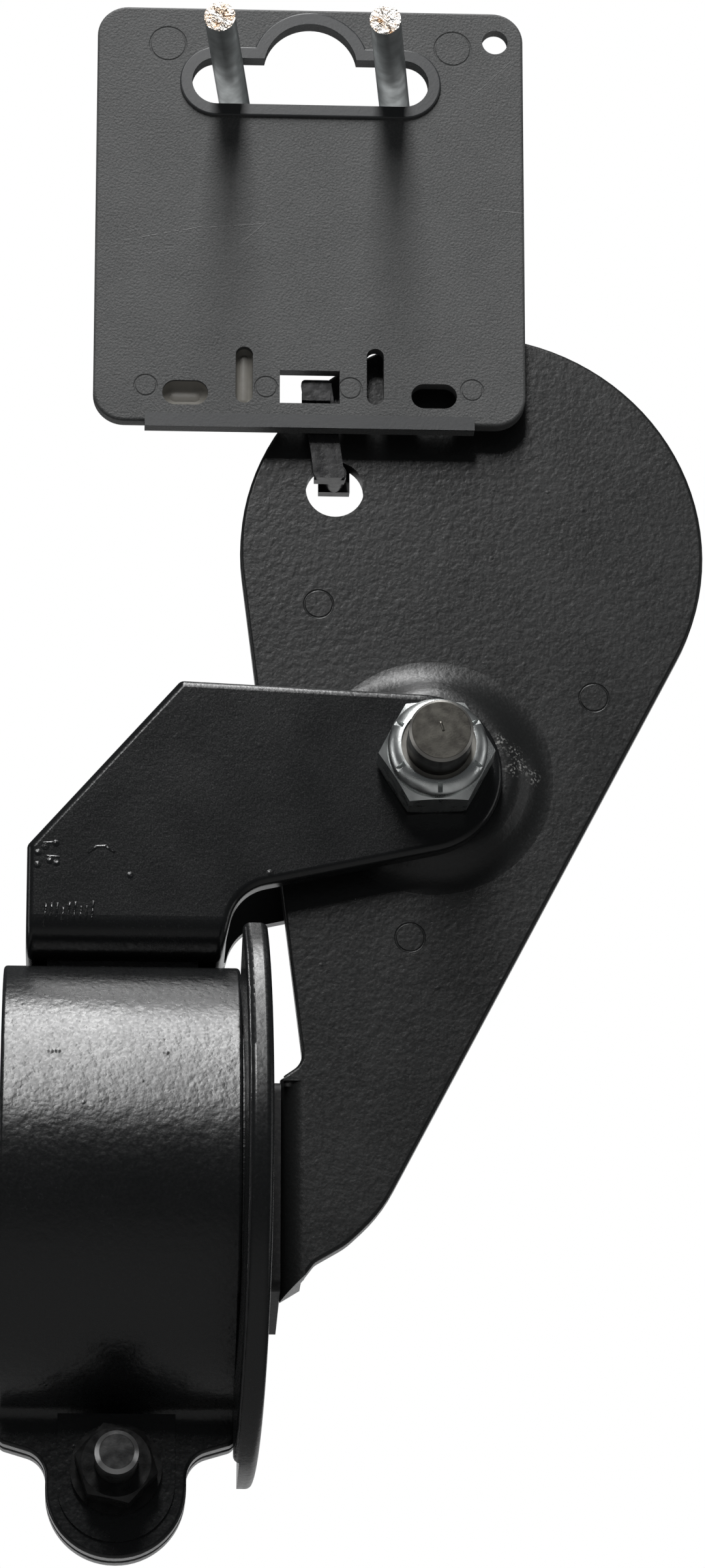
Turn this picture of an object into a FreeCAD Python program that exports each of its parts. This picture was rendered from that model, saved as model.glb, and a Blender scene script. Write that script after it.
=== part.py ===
"""Clamp-on swing bracket, hung by a moulded tag from a twin-prong hanger.

Frame: millimetres, origin at the centre of the tube clamp's bore, +X along the bore,
+Y from the nut side to the bolt-head side, +Z up from the clamp to the pivot.
"""
import FreeCAD, Part
import math
import os

Vector = FreeCAD.Vector
X_AXIS = Vector(1, 0, 0)
Y_AXIS = Vector(0, 1, 0)
Z_AXIS = Vector(0, 0, 1)

# general
sheet = 4.0                    # steel plate and strip
part_gap = 0.3                 # clearance between pieces that move past each other
running_gap = 0.05             # radial clearance of a turning fit
thread_gap = 0.02              # radial clearance of a bolt in its nut
hole_gap = 0.25                # radial clearance of a bolt in a plate

# tube clamp
tube_radius = 38.05            # bore, for a 76.1 mm tube
clamp_width = 43.9
ear_gap = 1.0                  # between the two bolting ears
ear_width = 25.8
ear_drop = 31.1                # from the bore's wall down to the ears' lower end
ear_bend = 3.0
shoulder_drop = 9.8            # from the bore's wall to the strip's lower corners
shoulder_slope = 2.7           # how much lower the strip's edge is beside the ears
shoulder_fillet = 5.0
shoulder_corner = 2.0
clamp_bolt_drop = 15.0         # from the bore's wall to the clamp bolt's axis
seat_rise = 0.6                # raised seat pressed in each ear under its washer
seat_radius = 10.8
seat_drop = 17.4               # from the bore's wall to the centre of the seat's round end
band_edge = 0.7                # rounding of the strip's edges

# collar flange
collar_thickness = 4.6
collar_radius = 55.0
collar_setoff = 0.65           # seam between band and collar
collar_start = 38.7            # degrees in front of the top
collar_end = 183.0
collar_edge = 1.4              # rounding of the rim's two edges
weld_size = 1.5
weld_start = 40.0              # degrees in front of the top
weld_span = 120.0
seam_depth = 0.8               # taken off the leaning collar to fit round the weld
root_depth = 0.6               # how far the weld stays clear of the bore
base_weld_inset = 4.0          # yoke's weld beads end short of the neck's sides
collar_lean = 2.0              # degrees, plan view: the lower end stands nearer the band

# yoke
yoke_left = -18.0              # neck's two sides
yoke_right = 18.2
neck_slope = 3.2               # how much further right the neck reaches at its top
yoke_depth = 33.0              # outside the two arms, along Y
yoke_bend = 7.0                # outer radius where the base turns into the arms
neck_height = 62.7
arm_peak_x = 10.4
arm_peak_z = 95.4
arm_end_x = 55.5
arm_end_z = 77.8
arm_end_radius = 15.6
arm_low_x = 32.0
arm_low_z = 56.7
neck_fillet = 8.5
arm_corner = 1.5
arm_edge = 1.5                 # rounding of the arms' outer edges

# pivot
pivot_x = 58.2
pivot_z = 79.2
sleeve_radius = 8.0
bush_wall = 2.0
spacer_wall = 3.5
friction_washer_radius = 15.0
friction_washer_thickness = 1.5

# swing plate
plate_front = -8.0             # front face, along Y
head_x = 66.1
head_z = 124.6
head_radius = 44.4
right_slope = 28.4             # degrees from vertical
left_slope = 7.1
foot_x = 48.5
foot_z = -5.0
foot_fillet = 30.0
toe_x = 42.0
toe_z = -11.2
toe_fillet = 14.0
heel_x = 36.2
heel_z = -14.6
heel_fillet = 3.0
heel_low = -17.0               # where the foot's lower edge runs into the bend
notch_z = 23.4
notch_fillet = 3.4
boss_radius = 20.5
boss_top_radius = 15.5
boss_blend = 7.0               # hollow rounding round the boss
boss_round = 4.5               # rounding of its top edge
boss_thinning = 0.8            # pressed wall, as a share of the sheet
hang_hole_x = 39.8
hang_hole_z = 136.9
hang_hole_radius = 5.6
flange_left = 29.8             # outer face of the bent flange
flange_bend = 4.6
relief_width = 0.6             # small step where the bend begins
relief_height = 1.0
flange_top_corner = 6.0
flange_low_corner = 5.0
flange_back = 16.0
flange_top = 20.9
flange_front_low = -21.5
flange_back_low = -11.0
plate_edge = 0.7               # rounding of the plate's edges
ring_radius = 2.75             # round press marks on the plate's front
ring_marks = ((89.2, 95.6), (54.0, 47.8), (36.7, 113.6))
ring_width = 0.5
ring_depth = 0.15
pad_thickness = 2.1
pad_front = -9.5
pad_back = 18.0
pad_top = 19.4
pad_front_low = -20.0
pad_back_low = -23.5
pad_corner = 2.0
pad_top_corner = 4.0

# fasteners
chamfer_share = 0.95           # flat face of a hexagon, as a share of its flats
chamfer_slope = 30.0           # degrees
m12_radius = 6.0
m12_flats = 19.0
m12_nut_height = 9.2
m12_turn = 2.0                 # degrees, how far the nut is turned on the bolt
m12_collar_height = 4.0
m12_head_height = 7.5
m12_end = 8.4                  # bolt end beyond the lock nut
nut_collar_step = 0.1          # nut's round collar inside its flats
nut_collar_round = 2.4
crimp_width = 0.9              # six notches that grip the insert
crimp_depth = 1.3
crimp_start = 0.4              # from the insert outwards
insert_depth = 3.0
insert_setback = 0.5
insert_wall = 1.0
m12_chamfer = 0.6
m12_washer_radius = 12.0
m12_washer_thickness = 2.5
m8_radius = 4.0
m8_flats = 13.4
m8_turn = -12.0                # degrees, how far nut and head are turned on the bolt
m8_nut_height = 6.5
m8_head_height = 5.3
m8_end = 10.5
m8_chamfer = 0.9
m8_washer_radius = 8.4
m8_washer_thickness = 1.6

# hang tag
tag_width = 83.1
tag_height = 86.2
tag_thickness = 2.8
tag_corner = 6.0
tag_x = 34.65
tag_low = 147.8
tag_front = -14.8
slot_length = 46.1
slot_height = 9.7
slot_above_base = 65.7         # slot's lower edge above the tag's lower edge
dome_width = 18.2
dome_rise = 7.5
rim_width = 2.4
rim_height = 0.7
rim_edge = 0.35
window_width = 11.5
window_height = 6.7
window_above_base = 7.4
lip_length = 63.2
lip_height = 2.7
lip_depth = 2.4
lip_below = 1.2                # how far the lip hangs below the tag
tag_edge = 0.6                 # rounding of the front outline
flat_slot_length = 8.8         # the two lying small slots
flat_slot_height = 5.0
flat_slot_offset = 23.9
flat_slot_above_base = 5.9
tall_slot_length = 3.3         # the two standing small slots
tall_slot_height = 11.5
tall_slot_offset = 12.6
tall_slot_above_base = 9.7
string_hole_radius = 2.5
string_hole_offset = 36.1
string_hole_above_base = 80.0
large_pin_radius = 3.5         # ejector-pin marks
large_pin_offset = 27.8
large_pin_above_base = 78.4
small_pin_radius = 2.1
small_pin_offsets = (-31.5, -8.4, 7.8, 31.2)
small_pin_above_base = 7.2
strap_width = 5.8
strap_thickness = 1.4
strap_top_x = 35.9
strap_low_x = 38.6
strap_above_window = 2.5       # strap's top above the window's centre
strap_corner = 0.8
tongue_width = 5.4
tongue_height = 2.2
tongue_drop = 2.6              # tongue's lower face below the window's centre
tongue_setback = 0.4           # from the tag's front face
hook_radius = 2.2
hook_bar_rise = 0.4            # bar's top above the peg's axis
hook_head_width = 6.0
hook_head_height = 9.0
hook_head_thickness = 2.4

# prong hanger
prong_radius = 3.0
prong_spacing = 31.6
prong_reach = 27.0             # beyond the tag's front face
prong_tilt = 5.5               # degrees, plan view
hanger_front = 50.0
hanger_thickness = 3.0
hanger_height = 26.0
hanger_screw_spacing = 56.0
hanger_screw_radius = 2.6
hanger_corner = 5.0
hanger_margin = 8.0            # from the screws to the plate's ends

# worked out
band_radius = tube_radius + sheet
insert_radius = m12_radius + insert_wall
ear_face = ear_gap / 2 + sheet
seat_face = ear_face + seat_rise
arm_face = yoke_depth / 2
base_low = band_radius
plate_back = plate_front + sheet
boss_face = -(arm_face - sheet) + part_gap
collar_left = clamp_width / 2 + collar_setoff
collar_bore = band_radius + 0.2
clamp_bolt_z = -tube_radius - clamp_bolt_drop
slot_low = tag_low + slot_above_base
slot_top = slot_low + slot_height
prong_z = slot_top - prong_radius - part_gap
prong_tip = tag_front - prong_reach
hook_z = hang_hole_z + hang_hole_radius - part_gap - hook_radius


def point(x, z):
    return Vector(x, 0, z)


def unit(angle):
    """Direction in the XZ plane, degrees from +X towards +Z."""
    turn = math.radians(angle)
    return Vector(math.cos(turn), 0, math.sin(turn))


def rod(axis, start, length, radius):
    return Part.makeCylinder(radius, length, start, axis)


def ring(axis, start, length, outer, inner):
    return rod(axis, start, length, outer).cut(rod(axis, start, length, inner))


def block(x0, x1, y0, y1, z0, z1):
    return Part.makeBox(x1 - x0, y1 - y0, z1 - z0, Vector(x0, y0, z0))


def rounded_edges(corners):
    """Closed outline through corners (point, radius), each corner turned by a tangent arc."""
    edges = []
    ends = []
    count = len(corners)
    for index, (corner, radius) in enumerate(corners):
        before = corners[index - 1][0]
        after = corners[(index + 1) % count][0]
        inward = (before - corner).normalize()
        outward = (after - corner).normalize()
        half = inward.getAngle(outward) / 2
        if radius <= 0:
            ends.append((corner, corner))
            continue
        reach = radius / math.tan(half)
        first = corner + inward * reach
        last = corner + outward * reach
        centre = corner + (inward + outward).normalize() * (radius / math.sin(half))
        middle = centre + (corner - centre).normalize() * radius
        edges.append(Part.Arc(first, middle, last).toShape())
        ends.append((first, last))
    for index in range(count):
        leave = ends[index][1]
        arrive = ends[(index + 1) % count][0]
        if leave.distanceToPoint(arrive) > 1e-6:
            edges.append(Part.makeLine(leave, arrive))
    return edges


def face_from(edges):
    return Part.Face(Part.Wire(Part.__sortEdges__(edges)))


def plate(edges, front, thickness):
    """Flat piece with an XZ outline, from y = front towards +Y."""
    face = face_from(edges)
    face.translate(Vector(0, front, 0))
    return face.extrude(Vector(0, thickness, 0))


def hexagon(x, z, front, height, flats, turn=0.0):
    corner = flats / 2 / math.cos(math.pi / 6)
    points = [point(x, z) + unit(turn + 60 * step) * corner for step in range(6)]
    return plate([Part.makeLine(points[step - 1], points[step]) for step in range(6)], front, height)


def chamfer_cone(x, z, face, flats, outward):
    """Cone that breaks a hexagon's corners at the plane y = face, facing along outward."""
    small = flats / 2 * chamfer_share
    large = small + flats * math.tan(math.radians(90 - chamfer_slope))
    return Part.makeCone(small, large, flats, Vector(x, face, z), Vector(0, -outward, 0))


def clamp_band():
    """Split ring with a strip section; its two ends turn down into the bolting ears."""
    bend_y = ear_face + ear_bend
    bend_z = -math.sqrt((band_radius + ear_bend) ** 2 - bend_y ** 2)
    low = -tube_radius - ear_drop
    angle = math.atan2(bend_z, bend_y)

    def on_circle(radius, turn):
        return Vector(0, radius * math.cos(turn), radius * math.sin(turn))

    def half(side):
        def at(y, z):
            return Vector(0, side * y, z)
        outer_top = on_circle(band_radius, math.pi / 2)
        inner_top = on_circle(tube_radius, math.pi / 2)
        outer_end = at(band_radius * math.cos(angle), band_radius * math.sin(angle))
        inner_end = at(tube_radius * math.cos(angle), tube_radius * math.sin(angle))
        middle = (angle + math.pi / 2) / 2
        outer_mid = at(band_radius * math.cos(middle), band_radius * math.sin(middle))
        inner_mid = at(tube_radius * math.cos(middle), tube_radius * math.sin(middle))
        turn_mid = (angle + math.pi + math.pi) / 2
        wide = ear_bend + sheet
        bend_mid_outer = at(bend_y + ear_bend * math.cos(turn_mid), bend_z + ear_bend * math.sin(turn_mid))
        bend_mid_inner = at(bend_y + wide * math.cos(turn_mid), bend_z + wide * math.sin(turn_mid))
        edges = [
            Part.Arc(outer_top, outer_mid, outer_end).toShape(),
            Part.Arc(outer_end, bend_mid_outer, at(ear_face, bend_z)).toShape(),
            Part.makeLine(at(ear_face, bend_z), at(ear_face, low)),
            Part.makeLine(at(ear_face, low), at(ear_gap / 2, low)),
            Part.makeLine(at(ear_gap / 2, low), at(ear_gap / 2, bend_z)),
            Part.Arc(at(ear_gap / 2, bend_z), bend_mid_inner, inner_end).toShape(),
            Part.Arc(inner_end, inner_mid, inner_top).toShape(),
            Part.makeLine(inner_top, outer_top),
        ]
        face = face_from(edges)
        face.translate(Vector(-clamp_width / 2, 0, 0))
        return face.extrude(Vector(clamp_width, 0, 0))

    band = half(1).fuse(half(-1)).removeSplitter()
    edge = clamp_width / 2
    corner = -tube_radius - shoulder_drop
    shoulder = corner - shoulder_slope
    above = band_radius + sheet
    keep = plate(rounded_edges([
        (point(-edge, above), 0), (point(-edge, corner), shoulder_corner),
        (point(-ear_width / 2, shoulder), shoulder_fillet), (point(-ear_width / 2, low), ear_width / 2 - 0.1),
        (point(ear_width / 2, low), ear_width / 2 - 0.1), (point(ear_width / 2, shoulder), shoulder_fillet),
        (point(edge, corner), shoulder_corner), (point(edge, above), 0),
    ]), -above, 2 * above)
    band = band.common(keep)
    long_edges = [item for item in band.Edges if item.Length > clamp_width]
    sides = [item for item in long_edges if abs(item.CenterOfMass.x) > edge - 0.01]
    band = band.makeFillet(band_edge, sides)
    seat_top = bend_z + math.sqrt(ear_bend ** 2 - (ear_bend - seat_rise) ** 2)
    bolt_hole = rod(Y_AXIS, Vector(0, -above, clamp_bolt_z), 2 * above, m8_radius + hole_gap)
    return band.fuse([ear_seat(seat_top, -seat_face), ear_seat(seat_top, ear_face)]).cut(bolt_hole)


def ear_seat(top, front):
    """Raised seat with a round lower end, pressed in one ear's outer face."""
    low = -tube_radius - seat_drop - seat_radius
    corners = [
        (point(-seat_radius, top), 0), (point(-seat_radius, low), seat_radius - 0.1),
        (point(seat_radius, low), seat_radius - 0.1), (point(seat_radius, top), 0),
    ]
    return plate(rounded_edges(corners), front, seat_rise)


def collar_flange():
    """C-shaped plate that stands up round the front of the band's right edge."""
    def at(radius, turn):
        angle = math.radians(turn)
        return Vector(collar_left, -radius * math.sin(angle), radius * math.cos(angle))

    def arc(radius):
        middle = (collar_start + collar_end) / 2
        return Part.Arc(at(radius, collar_start), at(radius, middle), at(radius, collar_end)).toShape()

    inner = collar_bore - seam_depth
    edges = [
        arc(collar_radius), Part.makeLine(at(collar_radius, collar_end), at(inner, collar_end)),
        arc(inner), Part.makeLine(at(inner, collar_start), at(collar_radius, collar_start)),
    ]
    collar = face_from(edges).extrude(Vector(collar_thickness, 0, 0))
    arcs = [item for item in collar.Edges if item.Curve.TypeId == "Part::GeomCircle"]
    rim = [item for item in arcs if item.Curve.Radius > collar_radius - 0.01 and item.Length > collar_radius]
    collar = collar.makeFillet(collar_edge, rim)
    collar.rotate(Vector(collar_left, -collar_radius, 0), Z_AXIS, collar_lean)
    collar = collar.cut(rod(X_AXIS, Vector(0, 0, 0), 2 * clamp_width, collar_bore))
    half = collar_radius / 4
    shoulder = block(0, clamp_width / 2 + part_gap, -half, half, -collar_radius, 0)
    return collar.cut(shoulder)


def flange_welds():
    """One long bead inside the collar flange, joining it to the strip's right edge."""
    start = Vector(clamp_width / 2, 0, 0)
    length = collar_setoff + weld_size
    wedge = Part.makeCylinder(collar_radius, length, start, X_AXIS, weld_span)
    wedge.rotate(Vector(0, 0, 0), X_AXIS, weld_start)
    return ring(X_AXIS, start, length, collar_bore, tube_radius + root_depth).common(wedge)


def yoke():
    """U-shaped channel: base on the band, two equal arms out to the pivot."""
    bottom = base_low
    inner = yoke_bend - sheet
    arm = arm_face
    over = arm_peak_z + sheet
    section = [
        (Vector(0, -arm, over), 0), (Vector(0, -arm, bottom), yoke_bend),
        (Vector(0, arm, bottom), yoke_bend), (Vector(0, arm, over), 0),
        (Vector(0, arm - sheet, over), 0), (Vector(0, arm - sheet, bottom + sheet), inner),
        (Vector(0, sheet - arm, bottom + sheet), inner), (Vector(0, sheet - arm, over), 0),
    ]
    face = face_from(rounded_edges(section))
    left = yoke_left
    face.translate(Vector(left, 0, 0))
    channel = face.extrude(Vector(arm_end_x + 2 * arm_end_radius - left, 0, 0))
    centre = point(arm_end_x, arm_end_z)
    lower = point(arm_low_x, arm_low_z)
    upper = point(arm_peak_x, arm_peak_z)
    top_tangent = tangent_point(upper, centre, arm_end_radius, -1)
    low_tangent = tangent_point(lower, centre, arm_end_radius, 1)
    neck_top = neck_corner(lower, low_tangent, yoke_right + neck_slope)
    neck = rounded_edges([
        (point(left, bottom - 1), 0), (point(left, neck_height), arm_corner), (upper, arm_corner),
        (top_tangent, 0), (low_tangent, 0), (neck_top, neck_fillet), (point(yoke_right, bottom - 1), 0),
    ])
    outline = plate(neck, -arm - 1, 2 * arm + 2)
    round_end = rod(Y_AXIS, Vector(arm_end_x, -arm - 1, arm_end_z), 2 * arm + 2, arm_end_radius)
    bolt_hole = rod(Y_AXIS, Vector(pivot_x, -arm - 1, pivot_z), 2 * arm + 2, m12_radius + hole_gap)
    body = channel.common(outline.fuse(round_end).removeSplitter())
    outer = [item for item in body.Edges if abs(item.CenterOfMass.y) > arm - 0.01]
    return body.makeFillet(arm_edge, outer).cut(bolt_hole)


def tangent_point(outside, centre, radius, side):
    """Where a line from a point outside a circle touches it; side chooses which of the two."""
    away = outside - centre
    distance = away.Length
    turn = side * math.degrees(math.acos(radius / distance))
    heading = math.degrees(math.atan2(away.z, away.x)) + turn
    return centre + unit(heading) * radius


def neck_corner(lower, tangent, x):
    """Where the arms' lower edge, drawn on, meets the neck's right side."""
    slope = (tangent.z - lower.z) / (tangent.x - lower.x)
    return point(x, lower.z + slope * (x - lower.x))


def yoke_welds():
    """Fillet beads along both sides of the yoke's base, on top of the band."""
    beads = []
    reach = arm_face - yoke_bend
    inner = reach - weld_size
    low = math.sqrt(band_radius ** 2 - reach ** 2) - 1
    around = rod(X_AXIS, Vector(-clamp_width, 0, 0), 2 * clamp_width, band_radius)
    left = yoke_left + base_weld_inset
    right = yoke_right - base_weld_inset
    for side in (-1, 1):
        near = min(side * inner, side * reach)
        bead = block(left, right, near, near + weld_size, low, base_low)
        beads.append(bead.cut(around))
    return Part.makeCompound(beads)


def clamp_bolt():
    front = -seat_face - m8_washer_thickness - m8_nut_height - m8_end
    back = seat_face + m8_washer_thickness
    shank = rod(Y_AXIS, Vector(0, front, clamp_bolt_z), back - front, m8_radius)
    tip = [edge for edge in shank.Edges if edge.CenterOfMass.y < front + 0.1]
    shank = shank.makeChamfer(m8_chamfer, tip)
    head = hexagon(0, clamp_bolt_z, back, m8_head_height, m8_flats, m8_turn)
    head = head.common(chamfer_cone(0, clamp_bolt_z, back + m8_head_height, m8_flats, 1))
    return shank.fuse(head).removeSplitter()


def clamp_nut():
    back = -seat_face - m8_washer_thickness
    nut = hexagon(0, clamp_bolt_z, back - m8_nut_height, m8_nut_height, m8_flats, m8_turn)
    nut = nut.common(chamfer_cone(0, clamp_bolt_z, back - m8_nut_height, m8_flats, -1))
    bore = rod(Y_AXIS, Vector(0, back - m8_nut_height, clamp_bolt_z), m8_nut_height, m8_radius + thread_gap)
    return nut.cut(bore)


def clamp_washer(side):
    start = seat_face if side > 0 else -seat_face - m8_washer_thickness
    place = Vector(0, start, clamp_bolt_z)
    return ring(Y_AXIS, place, m8_washer_thickness, m8_washer_radius, m8_radius + hole_gap)


def pivot_bolt():
    front = -arm_face - m12_nut_height - m12_collar_height - m12_end
    back = arm_face + m12_washer_thickness
    shank = rod(Y_AXIS, Vector(pivot_x, front, pivot_z), back - front, m12_radius)
    tip = [edge for edge in shank.Edges if edge.CenterOfMass.y < front + 0.1]
    shank = shank.makeChamfer(m12_chamfer, tip)
    head = hexagon(pivot_x, pivot_z, back, m12_head_height, m12_flats)
    head = head.common(chamfer_cone(pivot_x, pivot_z, back + m12_head_height, m12_flats, 1))
    return shank.fuse(head).removeSplitter()


def pivot_nut():
    """Lock nut: hexagon with a round collar, notched in six places to grip its ring."""
    face = -arm_face - m12_nut_height
    front = face - m12_collar_height
    nut = hexagon(pivot_x, pivot_z, face, m12_nut_height, m12_flats, m12_turn)
    nut = nut.common(chamfer_cone(pivot_x, pivot_z, face, m12_flats, -1))
    nut = nut.common(chamfer_cone(pivot_x, pivot_z, -arm_face, m12_flats, 1))
    collar_out = m12_flats / 2 - nut_collar_step
    collar = rod(Y_AXIS, Vector(pivot_x, front, pivot_z), m12_collar_height, collar_out)
    rim = [edge for edge in collar.Edges if edge.CenterOfMass.y < front + 0.1]
    nut = nut.fuse(collar.makeFillet(nut_collar_round, rim)).removeSplitter()
    start = Vector(pivot_x, front, pivot_z)
    nut = nut.cut(rod(Y_AXIS, start, m12_nut_height + m12_collar_height, m12_radius + thread_gap))
    nut = nut.cut(rod(Y_AXIS, start, insert_depth, insert_radius))
    half = crimp_width / 2
    for step in range(6):
        notch = block(insert_radius + crimp_start, m12_flats, front - 1, front + crimp_depth, -half, half)
        notch.rotate(Vector(0, 0, 0), Y_AXIS, 30 + 60 * step - m12_turn)
        notch.translate(Vector(pivot_x, 0, pivot_z))
        nut = nut.cut(notch)
    return nut


def pivot_nut_insert():
    start = Vector(pivot_x, -arm_face - m12_nut_height - m12_collar_height + insert_setback, pivot_z)
    return ring(Y_AXIS, start, insert_depth - insert_setback, insert_radius, m12_radius + thread_gap)


def pivot_washer():
    start = Vector(pivot_x, arm_face, pivot_z)
    return ring(Y_AXIS, start, m12_washer_thickness, m12_washer_radius, m12_radius + hole_gap)


def pivot_sleeve():
    length = 2 * (arm_face - sheet)
    start = Vector(pivot_x, -length / 2, pivot_z)
    return ring(Y_AXIS, start, length, sleeve_radius, m12_radius + hole_gap)


def friction_washer():
    start = Vector(pivot_x, plate_back + part_gap, pivot_z)
    inner = sleeve_radius + running_gap
    return ring(Y_AXIS, start, friction_washer_thickness, friction_washer_radius, inner)


def pivot_spacer():
    start = plate_back + part_gap + friction_washer_thickness
    length = arm_face - sheet - start
    inner = sleeve_radius + running_gap
    return ring(Y_AXIS, Vector(pivot_x, start, pivot_z), length, sleeve_radius + spacer_wall, inner)


def pivot_bush():
    bore = sleeve_radius + running_gap
    return ring(Y_AXIS, Vector(pivot_x, boss_face, pivot_z), sheet, bore + bush_wall, bore)


def swing_outline():
    """Round head, two straight flanks, curved toe and the notch above the bent flange."""
    centre = point(head_x, head_z)
    left_touch = centre + unit(180 + left_slope) * head_radius
    right_touch = centre + unit(-right_slope) * head_radius
    left_run = unit(-90 + left_slope)
    left_foot = left_touch + left_run * ((left_touch.z - notch_z) / -left_run.z)
    edge = flange_left + flange_bend
    step = flange_left + relief_width
    chain = rounded_edges([
        (left_touch, 0), (right_touch, 0), (point(foot_x, foot_z), foot_fillet),
        (point(toe_x, toe_z), toe_fillet), (point(heel_x, heel_z), heel_fillet), (point(edge, heel_low), 0),
        (point(edge, flange_top - relief_height), 0), (point(step, flange_top - relief_height), 0),
        (point(step, flange_top), 0), (left_foot, notch_fillet),
    ])
    body = plate(chain, plate_front, sheet)
    head = rod(Y_AXIS, Vector(head_x, plate_front, head_z), sheet, head_radius)
    body = body.fuse(head).removeSplitter()
    middle = plate_front + sheet / 2
    faces = [item for item in body.Edges if abs(item.CenterOfMass.y - middle) > sheet / 2 - 0.01]
    rim = [item for item in faces if item.CenterOfMass.x > edge and item.CenterOfMass.z > foot_z]
    return body.makeFillet(plate_edge, rim)


def bent_flange():
    """Flange turned back from the plate's lower left edge through a round bend."""
    bend_x = flange_left + flange_bend
    bend_y = plate_front + flange_bend
    inner = flange_bend - sheet
    profile = rounded_edges([
        (Vector(bend_x, plate_front, 0), 0), (Vector(flange_left, plate_front, 0), flange_bend),
        (Vector(flange_left, flange_back, 0), 0), (Vector(flange_left + sheet, flange_back, 0), 0),
        (Vector(flange_left + sheet, plate_back, 0), inner), (Vector(bend_x, plate_back, 0), 0),
    ])
    height = flange_top - flange_front_low
    face = face_from(profile)
    face.translate(Vector(0, 0, flange_front_low))
    flange = face.extrude(Vector(0, 0, height))
    side = [
        (Vector(0, plate_front, flange_top), 0), (Vector(0, flange_back, flange_top), flange_top_corner),
        (Vector(0, flange_back, flange_back_low), flange_low_corner),
        (Vector(0, plate_back, flange_front_low), 0), (Vector(0, plate_front, flange_front_low), 0),
    ]
    keep = face_from(rounded_edges(side))
    keep.translate(Vector(flange_left, 0, 0))
    flange = flange.common(keep.extrude(Vector(flange_bend, 0, 0)))
    below = rounded_edges([
        (point(flange_left, flange_front_low), 0), (point(bend_x, flange_front_low), 0),
        (point(bend_x, heel_low), 0),
    ])
    corner = plate(below, plate_front, flange_back)
    return flange.cut(corner)


def pressed_boss():
    """Blended boss round the pivot and the hollow behind it."""
    rise = plate_front - boss_face
    foot = rod(Y_AXIS, Vector(pivot_x, plate_front, pivot_z), sheet, boss_radius + boss_blend)
    cone = Part.makeCone(boss_radius, boss_top_radius, rise, Vector(pivot_x, plate_front, pivot_z), -Y_AXIS)
    boss = foot.fuse(cone).removeSplitter()
    circles = [item for item in boss.Edges if item.Curve.TypeId == "Part::GeomCircle"]
    base = [item for item in circles if abs(item.Curve.Radius - boss_radius) < 0.01]
    boss = boss.makeFillet(boss_blend, base)
    circles = [item for item in boss.Edges if item.Curve.TypeId == "Part::GeomCircle"]
    top = [item for item in circles if abs(item.Curve.Radius - boss_top_radius) < 0.01]
    boss = boss.makeFillet(boss_round, top)
    wall = sheet * boss_thinning
    hollow_place = Vector(pivot_x, plate_back, pivot_z)
    hollow = Part.makeCone(boss_radius - wall, boss_top_radius - wall, rise, hollow_place, -Y_AXIS)
    return boss, hollow


def swing_plate():
    """Swing plate with its pressed boss, hang hole, dimple marks and bent flange."""
    boss, hollow = pressed_boss()
    body = swing_outline().fuse(bent_flange()).fuse(boss).removeSplitter()
    bush_out = sleeve_radius + running_gap + bush_wall
    seat = rod(Y_AXIS, Vector(pivot_x, boss_face, pivot_z), plate_back - boss_face, bush_out)
    hang = rod(Y_AXIS, Vector(hang_hole_x, plate_front, hang_hole_z), sheet, hang_hole_radius)
    marks = [ring_mark(x, z, plate_front, ring_radius, ring_width, ring_depth) for x, z in ring_marks]
    return body.cut([hollow, seat, hang] + marks)


def ring_mark(x, z, face, radius, width, depth):
    """Shallow ring-shaped groove in a surface that faces -Y."""
    section = (width ** 2 / 4 + depth ** 2) / (2 * depth)
    return Part.makeTorus(radius, section, Vector(x, face + depth - section, z), Y_AXIS)


def stop_pad():
    """Buffer pad on the bent flange's left face."""
    corners = [
        (Vector(0, pad_front, pad_top), pad_corner), (Vector(0, pad_back, pad_top), pad_top_corner),
        (Vector(0, pad_back, pad_back_low), pad_corner), (Vector(0, pad_front, pad_front_low), pad_corner),
    ]
    face = face_from(rounded_edges(corners))
    face.translate(Vector(flange_left - pad_thickness, 0, 0))
    return face.extrude(Vector(pad_thickness, 0, 0))


def slot_edges(grow):
    """Outline of the long slot under the dome, offset outwards by grow."""
    left = tag_x - slot_length / 2 - grow
    right = tag_x + slot_length / 2 + grow
    low = slot_low - grow
    top = slot_top + grow
    end = slot_height / 2 + grow
    return rounded_edges([
        (point(left, low), end - 0.01), (point(right, low), end - 0.01),
        (point(right, top), end - 0.01), (point(left, top), end - 0.01),
    ])


def euro_slot(grow, front, thickness):
    """Solid of the slot and its dome, offset outwards by grow."""
    radius = dome_width / 2 + grow
    centre_z = slot_top + dome_rise - dome_width / 2
    top = centre_z + radius
    long_slot = plate(slot_edges(grow), front, thickness)
    dome = rod(Y_AXIS, Vector(tag_x, front, centre_z), thickness, radius)
    dome = dome.common(block(tag_x - radius, tag_x + radius, front, front + thickness, slot_low, top))
    return long_slot.fuse(dome).removeSplitter()


def small_slot(x, z, length, height):
    radius = min(length, height) / 2 - 0.01
    left = x - length / 2
    low = z - height / 2
    corners = [point(left, low), point(left + length, low), point(left + length, low + height),
               point(left, low + height)]
    return plate(rounded_edges([(corner, radius) for corner in corners]), tag_front - 1, tag_thickness + 2)


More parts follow.
